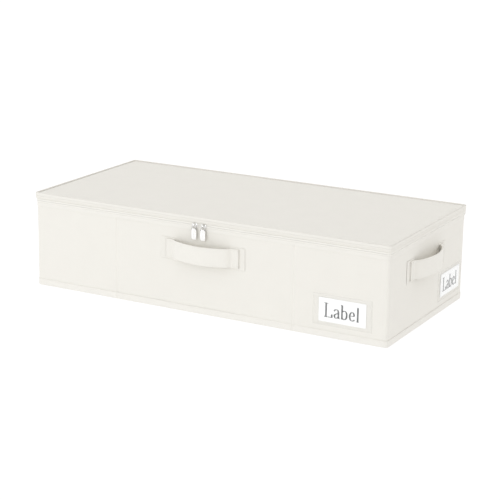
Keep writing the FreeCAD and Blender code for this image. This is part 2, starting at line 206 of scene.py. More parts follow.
def coilFinish():
    finish = Finish("nylonCoil", Coat_Weight=0.2, Subsurface_Weight=0.0)
    place = finish.place()
    mottle = finish.grain(place, 260.0, 2.0)
    finish.feed("Base Color", finish.mix(mottle, (0.80, 0.785, 0.74, 1), (0.87, 0.855, 0.81, 1)))
    finish.feed("Roughness", mottle * 0.15 + 0.32)
    finish.relief(mottle, 0.02 * mm)
    return finish.material


def threadFinish():
    finish = Finish("sewingThread", Sheen_Weight=0.15)
    place = finish.place()
    ply = finish.grain(place, 2600.0, 1.0)
    finish.feed("Base Color", finish.mix(ply, (0.79, 0.77, 0.715, 1), (0.87, 0.85, 0.80, 1)))
    finish.feed("Roughness", ply * 0.2 + 0.6)
    finish.relief(ply, 0.05 * mm)
    return finish.material


def filmFinish():
    finish = Finish("clearFilm", Roughness=0.09, IOR=1.4)
    run = finish.cloth()
    haze = finish.grain(run, 55.0, 2.0)
    finish.feed("Base Color", finish.mix(haze, (0.88, 0.88, 0.86, 1), (0.97, 0.97, 0.96, 1)))
    finish.feed("Alpha", haze * 0.03 + 0.06)
    finish.relief(haze, 0.06 * mm, 0.4)
    return finish.material


def paperFinish():
    finish = Finish("paperCard", Roughness=0.62)
    place = finish.place()
    fibres = finish.grain(place, 900.0, 4.0)
    finish.feed("Base Color", finish.mix(fibres, (0.95, 0.95, 0.95, 1), (0.99, 0.99, 0.985, 1)))
    finish.relief(fibres, 0.012 * mm)
    return finish.material


def inkFinish():
    finish = Finish("printedInk", Roughness=0.5)
    place = finish.place()
    speck = finish.grain(place, 2400.0, 2.0)
    finish.feed("Base Color", finish.mix(speck, (0.030, 0.032, 0.036, 1), (0.075, 0.078, 0.085, 1)))
    return finish.material


finishes.update(stiffeningBoard=boardFinish(), sliderMetal=nickelFinish(), zipTeeth=coilFinish(),
                thread=threadFinish(), clearFilm=filmFinish(), paperCard=paperFinish(), ink=inkFinish())
print("finishes made")


def newPiece(name, points, faces, finish, uvs=None, smooth=True):
    mesh = bpy.data.meshes.new(name)
    mesh.from_pydata([tuple(p) for p in points], [], faces)
    if uvs:
        layer = mesh.uv_layers.new(name="cloth")
        layer.data.foreach_set("uv", np.array([uv for face in uvs for uv in face], float).ravel())
    mesh.polygons.foreach_set("use_smooth", [smooth] * len(mesh.polygons))
    mesh.materials.append(finishes[finish])
    piece = bpy.data.objects.new(name, mesh)
    scene.collection.objects.link(piece)
    return piece


def worked(piece, *steps):
    for kind, settings in steps:
        added = piece.modifiers.new(kind.title(), kind)
        for key, value in settings.items():
            setattr(added, key, value)
    graph = bpy.context.evaluated_depsgraph_get()
    made = bpy.data.meshes.new_from_object(piece.evaluated_get(graph), depsgraph=graph)
    piece.modifiers.clear()
    piece.data = made
    return piece


def points(piece):
    return np.array([v.co for v in piece.data.vertices], float).reshape(-1, 3)


def setPoints(piece, places):
    piece.data.vertices.foreach_set("co", np.asarray(places, float).ravel())
    piece.data.update()
    return piece


def stops(low, high, step, marks=(), nearby=()):
    edges = [low, *sorted(marks), high]
    found = [high]
    for start, end in zip(edges, edges[1:]):
        count = max(1, round((end - start) / step))
        found += [start + (end - start) * k / count for k in range(count)]
    found += [mark + side * gap for mark in marks for side in (-1, 1) for gap in nearby]
    return sorted({round(value, 6) for value in found})


# A path round the walls seen from above, anticlockwise: places, outward directions and length so far.
def wallPath(halfX, halfY, radius, step, marks=(), backEnd=None, turns=5):
    alongX = stops(radius - halfX, halfX - radius, step, marks, creaseSpread)
    alongY = stops(radius - halfY, halfY - radius, step)
    places, outs = [], []

    def straight(values, place, out):
        for value in values:
            places.append(Vector(place(value)))
            outs.append(Vector(out))

    def corner(x, y, start):
        for k in range(1, turns):
            angle = start + k / turns * math.pi / 2
            out = Vector((math.cos(angle), math.sin(angle)))
            places.append(Vector((x, y)) + out * radius)
            outs.append(out)

    if backEnd is None:
        straight([x for x in alongX[::-1] if x <= 0], lambda x: (x, halfY), (0, 1))
        corner(radius - halfX, halfY - radius, math.pi / 2)
        straight(alongY[::-1], lambda y: (-halfX, y), (-1, 0))
    else:
        sideY = [backEnd, *(y for y in alongY[::-1] if y < backEnd - mm)]
        straight(sideY, lambda y: (-halfX, y), (-1, 0))
    corner(radius - halfX, radius - halfY, math.pi)
    straight(alongX, lambda x: (x, -halfY), (0, -1))
    corner(halfX - radius, radius - halfY, 1.5 * math.pi)
    if backEnd is None:
        straight(alongY, lambda y: (halfX, y), (1, 0))
        corner(halfX - radius, halfY - radius, 0)
        straight([x for x in alongX[::-1] if x > 0], lambda x: (x, halfY), (0, 1))
    else:
        straight(sideY[::-1], lambda y: (halfX, y), (1, 0))
    closed = backEnd is None
    ends = places[1:] + places[:1] if closed else places[1:]
    run = [0.0]
    for here, there in zip(places, ends):
        run.append(run[-1] + (there - here).length)
    return {"places": places, "outs": outs, "run": run, "closed": closed}


creaseSpread = [gap * mm for gap in (1.2, 2.6, 4.5, 8.0)]


# Carries a section of (out, height) points along a path; a closed section is listed anticlockwise.
def swept(path, section, closedSection=True, wave=None):
    rings, places = len(path["places"]), []
    for place, out in zip(path["places"], path["outs"]):
        for distance, height in section:
            spot = place + out * distance
            if wave:
                spot = spot + out * wave(spot.x, spot.y, height)
            places.append((spot.x, spot.y, height))
    width = len(section)
    around = [0.0]
    for a, b in zip(section, section[1:] + section[:1]):
        around.append(around[-1] + math.dist(a, b))
    faces, uvs = [], []
    for i in range(rings if path["closed"] else rings - 1):
        for j in range(width if closedSection else width - 1):
            nextRing, nextPoint = (i + 1) % rings, (j + 1) % width
            here, there = i * width, nextRing * width
            faces.append((here + j, there + j, there + nextPoint, here + nextPoint))
            a, b, c, d = path["run"][i], path["run"][i + 1], around[j], around[j + 1]
            uvs.append(((a, c), (b, c), (b, d), (a, d)))
    if closedSection and not path["closed"]:
        flat = [(distance, height) for distance, height in section]
        faces.append(tuple(range(width)))
        uvs.append(tuple(flat))
        faces.append(tuple((rings - 1) * width + j for j in range(width))[::-1])
        uvs.append(tuple(flat[::-1]))
    return places, faces, uvs


def roundedSection(out0, out1, low, high, radius, rows=1, turns=3):
    found = []
    centres = [(out1 - radius, low + radius, -90), (out1 - radius, high - radius, 0),
               (out0 + radius, high - radius, 90), (out0 + radius, low + radius, 180)]
    for number, (out, height, start) in enumerate(centres):
        for k in range(turns + 1):
            angle = math.radians(start + 90 * k / turns)
            found.append((out + radius * math.cos(angle), height + radius * math.sin(angle)))
        if number in (0, 2):
            gap = (high - low - 2 * radius) * (1 if number == 0 else -1)
            last = found[-1]
            found += [(last[0], last[1] + gap * k / rows) for k in range(1, rows)]
    return found


# A level sheet with rounded corners: its corner cells are bent onto the arc.
def levelSheet(halfX, halfY, radius, step, height, marks=(), cells=4):
    def lines(halfSide, sideMarks):
        inner = stops(radius - halfSide, halfSide - radius, step, sideMarks, creaseSpread)
        outer = [halfSide - radius + radius * k / cells for k in range(1, cells + 1)]
        return [-value for value in outer[::-1]] + inner + outer

    def bent(x, y):
        a, b = (abs(x) - halfX + radius) / radius, (abs(y) - halfY + radius) / radius
        if a <= 0 or b <= 0:
            return x, y
        newX = halfX - radius + radius * a * math.sqrt(1 - b * b / 2)
        newY = halfY - radius + radius * b * math.sqrt(1 - a * a / 2)
        return math.copysign(newX, x), math.copysign(newY, y)

    xs, ys = lines(halfX, marks), lines(halfY, ())
    places = [(*bent(x, y), height) for y in ys for x in xs]
    faces, wide = [], len(xs)
    for j in range(len(ys) - 1):
        for i in range(wide - 1):
            faces.append((j * wide + i, j * wide + i + 1, (j + 1) * wide + i + 1, (j + 1) * wide + i))
    uvs = [tuple(places[k][:2] for k in face) for face in faces]
    rim = [*range(wide), *(j * wide + wide - 1 for j in range(1, len(ys)))]
    rim += [*range(len(ys) * wide - 2, (len(ys) - 1) * wide - 1, -1)]
    rim += [j * wide for j in range(len(ys) - 2, 0, -1)]
    return places, faces, uvs, rim


def ripple(x, y, z, size, seed):
    return noise.noise(Vector((x / size, y / size, z / size)) + Vector((seed, seed * 1.7, -seed)))


# Lets a pinned sheet settle as cloth and gives how far each point moved, softly capped.
def settle(piece, pins, look):
    before = points(piece)
    group = piece.vertex_groups.new(name="sewn")
    for index, weight in pins.items():
        group.add([index], weight, "REPLACE")
    cloth = piece.modifiers.new("settling", "CLOTH")
    cloth.settings.quality = look["quality"]
    cloth.settings.mass = 0.15
    cloth.settings.tension_stiffness = look["stiffness"]
    cloth.settings.compression_stiffness = look["stiffness"]
    cloth.settings.shear_stiffness = look["stiffness"] / 3
    cloth.settings.bending_stiffness = look["bending"]
    cloth.settings.vertex_group_mass = "sewn"
    cloth.settings.use_pressure = True
    cloth.settings.uniform_pressure_force = look["pressure"]
    cloth.settings.shrink_min = -look["slack"]
    cloth.settings.effector_weights.gravity = look["gravity"]
    cloth.collision_settings.use_collision = False
    for number in range(1, look["frames"] + 1):
        scene.frame_set(number)
    graph = bpy.context.evaluated_depsgraph_get()
    after = np.array([v.co for v in piece.evaluated_get(graph).data.vertices], float).reshape(-1, 3)
    piece.modifiers.clear()
    piece.vertex_groups.clear()
    scene.frame_set(1)
    moved = after - before
    far = np.linalg.norm(moved, axis=1, keepdims=True)
    print(f"{piece.name} settled, at most {far.max() / mm:.2f} mm before the cap")
    return moved * np.where(far > 1e-9, np.tanh(far / look["cap"]) * look["cap"] / np.maximum(far, 1e-9), 0)


# The outer fabric of the walls
wall = {"creaseDepth": 0.9 * mm, "creaseWidth": 2.0 * mm, "creaseAt": 187 * mm, "puckerHeight": 16 * mm,
        "radius": 6 * mm, "step": 11 * mm, "thickness": 0.9 * mm, "wave": 0.35 * mm}
shell = half("outer_wrap")
shellLow, shellHigh = heights("outer_wrap")
creases = (-wall["creaseAt"], wall["creaseAt"])


def creaseDip(x, y, z):
    if abs(y) < shell.y - 8 * mm:
        return 0.0
    near = math.exp(-((abs(x) - wall["creaseAt"]) / wall["creaseWidth"]) ** 2)
    shoulder = 0.35 * math.exp(-((abs(x) - wall["creaseAt"] - 5 * mm) / (4 * mm)) ** 2)
    pucker = 1 + 0.9 * math.exp(-(z / wall["puckerHeight"]) ** 2)
    return -wall["creaseDepth"] * pucker * (near - shoulder)


def wallWave(x, y, z):
    soft = ripple(x, y, z, 0.11, 3.1) * wall["wave"] + ripple(x, y, z, 0.035, 8.2) * wall["wave"] * 0.35
    return soft + creaseDip(x, y, z)


shellPath = wallPath(shell.x, shell.y, wall["radius"], wall["step"], creases)
wallRows = [(0.0, height) for height in stops(shellLow, shellHigh - 0.2 * mm, 8.5 * mm)]
places, faces, uvs = swept(shellPath, wallRows, closedSection=False)
outerWrap = newPiece("outerWrap", places, faces, "coverFabric", uvs)
wrapSettling = {"quality": 6, "stiffness": 60, "bending": 0.4, "pressure": -0.03, "slack": 0.0,
                "gravity": 0.1, "frames": 22, "cap": 0.6 * mm}


def wrapPins():
    pins = {}
    for index, spot in enumerate(points(outerWrap)):
        atCorner = abs(spot[0]) > shell.x - 9 * mm and abs(spot[1]) > shell.y - 9 * mm
        atCrease = abs(spot[1]) > shell.y - mm and abs(abs(spot[0]) - wall["creaseAt"]) < 1.5 * mm
        if spot[2] < 13 * mm or spot[2] > shellHigh - 8 * mm or atCorner:
            pins[index] = 1.0
        elif atCrease:
            pins[index] = 0.8
    return pins


rest = points(outerWrap)
settled = rest + settle(outerWrap, wrapPins(), wrapSettling)
shift = np.array([wallWave(*spot) for spot in rest])
outs = np.repeat(np.array([tuple(out) for out in shellPath["outs"]]), len(wallRows), axis=0)
settled[:, :2] += outs * shift[:, None]
settled[:, 2] = np.clip(settled[:, 2], shellLow, shellHigh)
setPoints(outerWrap, settled)
worked(outerWrap, ("SUBSURF", {"levels": 1, "render_levels": 1}),
       ("SOLIDIFY", {"thickness": wall["thickness"], "offset": -1.0}))
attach(outerWrap, "box")
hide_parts("outer_wrap")
print("wrap made")


def sheetPiece(name, made, finish, thickness, node, body, offset=-1.0,
               smoothing=0):
    piece = newPiece(name, made[0], made[1], finish, made[2])
    steps = [("SUBSURF", {"levels": smoothing, "render_levels": smoothing})] if smoothing else []
    worked(piece, *steps, ("SOLIDIFY", {"thickness": thickness, "offset": offset}))
    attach(piece, body)
    if node:
        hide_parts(node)
    return piece


# The bottom panel, the lining and the three bindings
bottom = {"step": 24 * mm, "wave": 0.12 * mm, "thickness": 1.1 * mm}
floorHalf = half("bottom_panel")
floorHigh = heights("bottom_panel")[1]
places, faces, uvs, _ = levelSheet(floorHalf.x, floorHalf.y, wall["radius"], bottom["step"], floorHigh)
places = [(x, y, z + min(0, ripple(x, y, 0, 0.12, 5.5)) * bottom["wave"]) for x, y, z in places]
sheetPiece("bottomPanel", (places, faces, uvs), "coverFabric", bottom["thickness"], "bottom_panel", "box")

lining = {"thickness": 0.6 * mm, "top": 163.6 * mm, "radius": 7 * mm}
liningHalf = half("inner_lining")
liningLow = heights("inner_lining")[0]


def liningWave(x, y, z):
    fade = min(1.0, (lining["top"] - z) / (30 * mm))
    slack = max(0, ripple(x, y, z, 0.06, 12.0)) * -wall["wave"] * 1.5
    return (slack + creaseDip(x, y, z) * 0.6) * max(fade, 0)


liningPath = wallPath(liningHalf.x, liningHalf.y, lining["radius"] - 0.4 * mm, 13 * mm, creases)
liningRows = [(0.0, height) for height in stops(liningLow, lining["top"], 12 * mm)]
sheetPiece("liningWalls", swept(liningPath, liningRows, False, liningWave), "liningFabric",
           lining["thickness"], "inner_lining", "box")

bindingStep = 9 * mm
hem = {"thickness": 0.72 * mm, "radius": 0.3 * mm}
hemHalf = half("bottom_hem_binding")
hemLow, hemHigh = heights("bottom_hem_binding")


def hemWave(x, y, z):
    return creaseDip(x, y, z) * 0.8 + ripple(x, y, z, 0.02, 2.2) * 0.12 * mm


hemPath = wallPath(hemHalf.x - hem["thickness"], hemHalf.y - hem["thickness"], wall["radius"], bindingStep,
                   creases)
hemSection = roundedSection(0.02 * mm, hem["thickness"], hemLow, hemHigh, hem["radius"], rows=4)


def bandPiece(name, path, section, finish, node, body, wave=None):
    places, faces, uvs = swept(path, section, True, wave)
    piece = newPiece(name, places, faces, finish, uvs)
    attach(piece, body)
    if node:
        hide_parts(node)
    return piece


bandPiece("hemBinding", hemPath, hemSection, "bindingFabric", "bottom_hem_binding", "box",
          hemWave)

rim = {"thickness": 0.5 * mm, "radius": 0.2 * mm, "turned": 2.8 * mm, "innerLow": 155 * mm,
       "capLow": 164.05 * mm, "capHigh": 164.35 * mm, "capStart": -1.65 * mm, "legIn": -5.25 * mm,
       "legOut": -4.95 * mm}
rimHalf = half("top_edge_binding")
rimLow, rimHigh = heights("top_edge_binding")
rimPath = wallPath(rimHalf.x - rim["thickness"], rimHalf.y - rim["thickness"], wall["radius"], bindingStep,
                   creases)
bandPiece("rimBinding", rimPath, roundedSection(0, rim["thickness"], rimLow, rimHigh, rim["radius"], rows=3),
          "bindingFabric", "top_edge_binding", "box",
          lambda x, y, z: creaseDip(x, y, z) * 0.3)
capPath = wallPath(shell.x, shell.y, wall["radius"] + 0.6 * mm, 14 * mm)
capSection = [(rim["legOut"], rim["innerLow"]), (rim["legOut"], rim["capLow"]),
              (rim["capStart"], rim["capLow"]), (rim["capStart"], rim["capHigh"]),
              (rim["legIn"] + 0.2 * mm, rim["capHigh"]), (rim["legIn"], rim["capHigh"] - 0.2 * mm),
              (rim["legIn"], rim["innerLow"])]
bandPiece("innerRimBinding", capPath, capSection, "bindingFabric", None, "box")
print("bindings made")

# The loose base board's cover turns down over its core
cover = {"radius": 3 * mm, "step": 20 * mm, "wave": 0.35 * mm, "thickness": 0.5 * mm}
coverHalf = half("base_board_cover")
coverLow, coverHigh = heights("base_board_cover")
edgeIn = 0.4 * mm
innerX, innerY = coverHalf.x - edgeIn, coverHalf.y - edgeIn
places, faces, uvs, edge = levelSheet(innerX, innerY, cover["radius"], cover["step"], coverHigh)
places = [Vector(place) for place in places]
ring = edge
turnDown = ((0.3 * mm, coverHigh - 0.15 * mm), (edgeIn, coverHigh - 0.5 * mm), (edgeIn, coverLow))
for outward, height in turnDown:
    fresh = []
    for index in edge:
        spot = places[index]
        inX = max(cover["radius"] - innerX, min(innerX - cover["radius"], spot.x))
        inY = max(cover["radius"] - innerY, min(innerY - cover["radius"], spot.y))
        out = Vector((spot.x - inX, spot.y - inY, 0)).normalized()
        fresh.append(len(places))
        places.append(Vector((spot.x, spot.y, 0)) + out * outward + Vector((0, 0, height)))
    for k in range(len(edge)):
        after = (k + 1) % len(edge)
        face = (fresh[k], fresh[after], ring[after], ring[k])
        faces.append(face)
        uvs.append(tuple((places[i].x + places[i].z, places[i].y + places[i].z) for i in face))
    ring = fresh
for spot in places:
    inside = min(1.0, max(0.0, min(coverHalf.x - abs(spot.x), coverHalf.y - abs(spot.y)) / (25 * mm)))
    spot.z -= max(0, ripple(spot.x, spot.y, 0, 0.09, 6.0)) * cover["wave"] * inside * 0.3
sheetPiece("baseBoardCover", (places, faces, uvs), "liningFabric", cover["thickness"], "base_board_cover",
           "base_board")
print("base board cover made")

# The zip tapes as (out, height) sections in mm: they meet edge to edge, with the coil behind them
tape = {"lower": [(0, 156), (0, 165.3), (1.5, 165.6), (1.85, 165.9), (1.9, 166.2), (1.9, 168.35),
                  (1.7, 168.52), (1.2, 168.5), (1.2, 166.6), (0.6, 166.2), (-0.55, 165.9), (-0.55, 156)],
        "upper": [(1.2, 168.75), (1.7, 168.73), (1.9, 168.9), (1.9, 171.9), (1.75, 172.3), (0.2, 172.7),
                  (0, 173.3), (0, 177.9), (-0.55, 177.9), (-0.55, 172.5), (0.7, 172.2), (1.2, 171.7)]}
for row, body, onto in (("lower", "box", "outerWrap"), ("upper", "lid", "lidSideBand")):
    node = f"{row}_zip_tape"
    tapeHalf, (low, high) = half(node), heights(node)
    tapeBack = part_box(node)[1].y + 8.3 * mm
    tapeFront = -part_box(node)[0].y
    tapePath = wallPath(tapeHalf.x, tapeFront, wall["radius"] - mm, 12 * mm, backEnd=tapeBack)
    section = [(out * mm, height * mm) for out, height in tape[row]]
    bandPiece(f"{row}ZipTape", tapePath, section, "zipTapeFabric", node, body)

# The lid's side band, piping, top fabric and lining
lid = {"radius": 7 * mm, "bandThickness": 0.9 * mm, "bandTop": 184.2 * mm, "lipReach": 3.9 * mm,
       "lipHeight": 0.8 * mm, "pipingOut": -1.6 * mm, "pipingWidth": 1.75 * mm, "pipingRound": 0.7 * mm,
       "wave": 0.35 * mm, "bulge": 0.35 * mm, "step": 11 * mm, "gutter": 1.6 * mm,
       "gutterDepth": 0.6 * mm, "seam": 179.2 * mm, "seamIn": 0.45 * mm}
lidHalf = half("lid_side_band")
bandLow = heights("lid_side_band")[0]
pipingLow, pipingHigh = heights("lid_edge_piping")


def bandWave(x, y, z):
    share = (z - bandLow) / (lid["bandTop"] - bandLow)
    inward = ripple(x, y, 0, 0.14, 4.4) * lid["wave"] + ripple(x, y, z, 0.03, 7.7) * 0.12 * mm
    return min(0.0, inward - 0.12 * mm) - lid["bulge"] * (1 - math.sin(math.pi * min(1, max(0, share)))) * 0.6


def lidSection():
    out, thick, turn = 0.0, lid["bandThickness"], 0.3 * mm
    low, high, top = bandLow, bandLow + lid["lipHeight"], lid["bandTop"]
    seam, under = lid["seam"], out - lid["seamIn"]
    outside = [(under - turn, low), (under - turn * 0.3, low + turn * 0.3), (under, low + turn)]
    outside += [(under, low + (seam - low) * k / 3) for k in range(1, 3)]
    outside += [(under, seam), (out - 0.1 * mm, seam), (out, seam + 0.15 * mm), (out, (seam + top) / 2)]
    crest = [(out, top - 0.4 * mm), (out - 0.15 * mm, top - 0.1 * mm), (out - thick / 2, top),
             (out - thick + 0.15 * mm, top - 0.1 * mm), (out - thick, top - 0.4 * mm)]
    inside = [(out - thick, high + 0.5 * mm), (out - thick - 0.15 * mm, high + 0.1 * mm)]
    lip = [(-lid["lipReach"] + 0.2 * mm, high), (-lid["lipReach"], (low + high) / 2),
           (-lid["lipReach"] + 0.2 * mm, low)]
    return outside + crest + inside + lip


lidPath = wallPath(lidHalf.x, lidHalf.y, lid["radius"], lid["step"])
bandPiece("lidSideBand", lidPath, lidSection(), "coverFabric", "lid_side_band", "lid",
          bandWave)


def pipingWave(x, y, z):
    return ripple(x, y, 0, 0.14, 4.4) * 0.12 * mm + ripple(x, y, z, 0.012, 9.1) * 0.06 * mm


pipingSection = roundedSection(lid["pipingOut"] - lid["pipingWidth"], lid["pipingOut"], pipingLow,
                               pipingHigh - 0.05 * mm, lid["pipingRound"], turns=4)
bandPiece("lidPiping", wallPath(lidHalf.x, lidHalf.y, lid["radius"], 8 * mm), pipingSection, "bindingFabric",
          "lid_edge_piping", "lid", pipingWave)

lidTopSettling = {"quality": 6, "stiffness": 60, "bending": 0.4, "pressure": 0.01, "slack": 0.0,
                  "gravity": 0.0, "frames": 22, "cap": 0.7 * mm}
topHalf = half("lid_top_fabric")
topLow, topHigh = heights("lid_top_fabric")
made = levelSheet(topHalf.x, topHalf.y, lid["radius"] - 3.4 * mm, 14 * mm, topHigh, cells=3)
lidTop = newPiece("lidTop", made[0], made[1], "coverFabric", made[2])
pins = {index: 1.0 for index, spot in enumerate(made[0])
        if abs(spot[0]) > topHalf.x - 12 * mm or abs(spot[1]) > topHalf.y - 12 * mm}
top = points(lidTop) + settle(lidTop, pins, lidTopSettling)
for spot in top:
    spot[2] += ripple(spot[0], spot[1], 0, 0.16, 1.3) * 0.45 * mm
    spot[2] += ripple(spot[0], spot[1], 0, 0.045, 2.6) * 0.12 * mm
top[:, 2] = np.maximum(top[:, 2], topLow + 0.75 * mm)
rimNear = np.minimum(topHalf.x - np.abs(top[:, 0]), topHalf.y - np.abs(top[:, 1]))
top[:, 2] -= np.clip(1 - rimNear / lid["gutter"], 0, 1) * lid["gutterDepth"]
setPoints(lidTop, top)
worked(lidTop, ("SUBSURF", {"levels": 1, "render_levels": 1}),
       ("SOLIDIFY", {"thickness": 0.6 * mm, "offset": -1.0}))
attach(lidTop, "lid")
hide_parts("lid_top_fabric")

underHalf = half("lid_lining")
underLow, underHigh = heights("lid_lining")
places, faces, uvs, _ = levelSheet(underHalf.x, underHalf.y, 4.5 * mm, 16 * mm, underHigh)
places = [(x, y, z - max(0, ripple(x, y, 0, 0.1, 14.0)) * 0.5 * mm) for x, y, z in places]
sheetPiece("lidLining", (places, faces, uvs), "liningFabric", 0.6 * mm, "lid_lining", "lid")
print("lid made")

# The fabric hinge along the back, one sheet running from the box wall up to the lid
hinge = {"thickness": 0.55 * mm, "wave": 0.3 * mm, "step": 14 * mm, "endIn": 3 * mm, "stand": 0.45 * mm,
         "rowGap": 4.3 * mm, "bendLow": 168.4 * mm, "bendHigh": 171.6 * mm, "flatHeight": 30 * mm}
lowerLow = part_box("hinge_strip_lower")[0]
upperLow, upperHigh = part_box("hinge_strip_upper")
hingeHalf = shell.x - hinge["endIn"]
wallY = lowerLow.y + hinge["stand"]
hingeLine = [(wallY, lowerLow.z + k * hinge["rowGap"]) for k in range(6)]
hingeLine += [(upperHigh.y - 1.2 * mm, 168.0 * mm), (upperHigh.y - 0.45 * mm, 169.4 * mm),
              (upperHigh.y - 0.3 * mm, 170.2 * mm), (upperHigh.y - 0.3 * mm, upperLow.z + 0.6 * mm),
              (upperHigh.y - 0.3 * mm, upperHigh.z - 0.1 * mm)]
xs = stops(-hingeHalf, hingeHalf, hinge["step"])
places = [(x, y + ripple(x, 0, z, 0.05, 6.6) * hinge["wave"] * (0.6 if z < 166 * mm else 0.15), z)
          for x in xs for y, z in hingeLine]
tall = len(hingeLine)
faces = [(i * tall + j, i * tall + j + 1, (i + 1) * tall + j + 1, (i + 1) * tall + j)
         for i in range(len(xs) - 1) for j in range(tall - 1)]
uvs = [tuple((places[k][0], places[k][2]) for k in face) for face in faces]
hingeSheet = newPiece("hingeSheet", places, faces, "bindingFabric", uvs)
worked(hingeSheet, ("SUBSURF", {"levels": 1, "render_levels": 1}),
       ("SOLIDIFY", {"thickness": hinge["thickness"], "offset": 0.0}))
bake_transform(hingeSheet)
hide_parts("hinge_strip_lower", "hinge_strip_upper")
print("hinge made")


# A place on a wall: u along it, w up, out away from it
class WallSpot:
    def __init__(self, origin, along):
        self.origin, self.along = Vector(origin), Vector(along)
        self.up = Vector((0, 0, 1))
        self.outward = self.along.cross(self.up)

    def at(self, u, w, out):
        return self.origin + self.along * u + self.up * w + self.outward * out


strapSize = half("front_handle_strap") * 2
strap = {"rise": 18 * mm, "loop": strapSize.x / 2 - 13 * mm, "end": strapSize.x / 2, "foot": 8 * mm,
         "shoulder": 20 * mm, "steep": 50, "width": strapSize.z, "thickness": 2.6 * mm, "seamIn": 3 * mm,
         "groove": 0.35 * mm, "lift": 0.7 * mm}


# The strap's inner face in plan: flat ends, two small foot arcs, two shoulders and a long shallow crown
def strapRoute():
    steep = math.radians(strap["steep"])
    both = strap["foot"] + strap["shoulder"]
    reach = strap["loop"] - both * math.sin(steep)
    climb = strap["rise"] - both * (1 - math.cos(steep))
    shallow = 2 * math.atan2(climb, reach)
    crown = strap["shoulder"] + reach / math.sin(shallow)
    foot = Vector((strap["loop"], strap["foot"]))
    shoulder = foot - Vector((math.sin(steep), math.cos(steep))) * both
    centre = shoulder - Vector((math.sin(shallow), math.cos(shallow))) * (crown - strap["shoulder"])
    route = [(Vector((strap["end"] - k * 5 * mm, 0)), Vector((0, 1))) for k in range(3)]
    for k in range(6):
        out = Vector((math.sin(steep * k / 5), math.cos(steep * k / 5)))
        route.append((foot - out * strap["foot"], out))
    for k in range(1, 6):
        angle = steep + (shallow - steep) * k / 5
        out = Vector((math.sin(angle), math.cos(angle)))
        route.append((shoulder + out * strap["shoulder"], out))
    for k in range(1, 13):
        angle = shallow * (1 - k / 12)
        out = Vector((math.sin(angle), math.cos(angle)))
        route.append((centre + out * crown, out))
    mirrored = [(Vector((-p.x, p.y)), Vector((-n.x, n.y))) for p, n in route[-2::-1]]
    return (route + mirrored)[::-1]


def strapSection():
    w, t = strap["width"] / 2, strap["thickness"]
    r, s, g = 0.8 * mm, strap["seamIn"], strap["groove"]
    face = [(-w + r, t), (-w + s - mm, t), (-w + s, t - g), (-w + s + mm, t), (-w / 2, t), (0, t), (w / 2, t),
            (w - s - mm, t), (w - s, t - g), (w - s + mm, t), (w - r, t)]
    edgeHigh = [(w - 0.2 * mm, t - 0.3 * mm), (w, t / 2), (w - 0.2 * mm, 0.3 * mm)]
    under = [(-u, t - h) for u, h in face]
    edgeLow = [(-u, t - h) for u, h in edgeHigh]
    return face + edgeHigh + under + edgeLow


def strapPiece(name, spot, node, seed):
    route, section = strapRoute(), strapSection()
    places, run = [], [0.0]
    for (a, _), (b, _) in zip(route, route[1:]):
        run.append(run[-1] + (b - a).length)
    for (place, out), far in zip(route, run):
        free = max(0.0, 1 - abs(place.x) / strap["loop"])
        lean = math.sin(min(1, free * 1.6) * math.pi / 2)
        for w, h in section:
            w2 = w * (1 - 0.03 * lean) + ripple(far, seed, 0, 0.05, seed) * 0.8 * mm * lean
            h2 = h + ripple(far, w, seed, 0.03, seed) * 0.35 * mm * lean
            flat = place + out * h2
            places.append(spot.at(flat.x, w2, flat.y + strap["lift"]))
    width, faces, uvs = len(section), [], []
    around = [0.0]
    for a, b in zip(section, section[1:] + section[:1]):
        around.append(around[-1] + math.dist(a, b))
    for i in range(len(route) - 1):
        for j in range(width):
            after = (j + 1) % width
            here, there = i * width, (i + 1) * width
            faces.append((here + after, there + after, there + j, here + j))
            a, b, c, d = run[i], run[i + 1], around[j], around[j + 1]
            uvs.append(((a, d), (b, d), (b, c), (a, c)))
    last = (len(route) - 1) * width
    faces += [tuple(range(width)), tuple(range(last, last + width))[::-1]]
    uvs += [tuple(section), tuple(section[::-1])]
    piece = newPiece(name, places, faces, "strapFabric", uvs)
    worked(piece, ("SUBSURF", {"levels": 1, "render_levels": 1}))
    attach(piece, "box")
    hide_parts(node)
    return piece


patchSize = half("front_handle_patches") * 2
patch = {"inner": patchSize.x / 2 - 32 * mm, "outer": patchSize.x / 2, "height": patchSize.z,
         "thickness": 0.55 * mm, "radius": 2 * mm, "stitchIn": 2 * mm}


def patchPiece(name, spot, node):
    halfU, halfW = (patch["outer"] - patch["inner"]) / 2, patch["height"] / 2
    places, faces, uvs = [], [], []
    for side in (-1, 1):
        flat, sides, cloth, _ = levelSheet(halfU, halfW, patch["radius"], 4 * mm, 0, cells=3)
        middle, base = side * (patch["inner"] + patch["outer"]) / 2, len(places)
        for u, w, _ in flat:
            lift = 0.1 * mm + patch["thickness"] - 0.25 * mm * (max(abs(u) / halfU, abs(w) / halfW) > 0.97)
            places.append(spot.at(u + middle, w, lift + max(-0.1, ripple(u, w, side, 0.012, 5.0)) * 0.1 * mm))
        faces += [tuple(base + k for k in face) for face in sides]
        uvs += cloth
    piece = newPiece(name, places, faces, "coverFabric", uvs)
    worked(piece, ("SOLIDIFY", {"thickness": patch["thickness"] - 0.1 * mm, "offset": -1.0}))
    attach(piece, "box")
    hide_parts(node)


def middleOf(node):
    low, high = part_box(node)
    return (low + high) / 2


frontMiddle = middleOf("front_handle_strap")
leftMiddle = middleOf("left_handle_strap")
rightMiddle = middleOf("right_handle_strap")
walls = {
    "front": WallSpot((0, -shell.y, frontMiddle.z), (1, 0, 0)),
    "left": WallSpot((-shell.x, leftMiddle.y, leftMiddle.z), (0, -1, 0)),
    "right": WallSpot((shell.x, rightMiddle.y, rightMiddle.z), (0, 1, 0)),
}
for seed, (side, spot) in enumerate(walls.items(), start=1):
    patchPiece(f"{side}HandlePatches", spot, f"{side}_handle_patches")
    strapPiece(f"{side}HandleStrap", spot, f"{side}_handle_strap", seed * 1.37)
print("handles made")

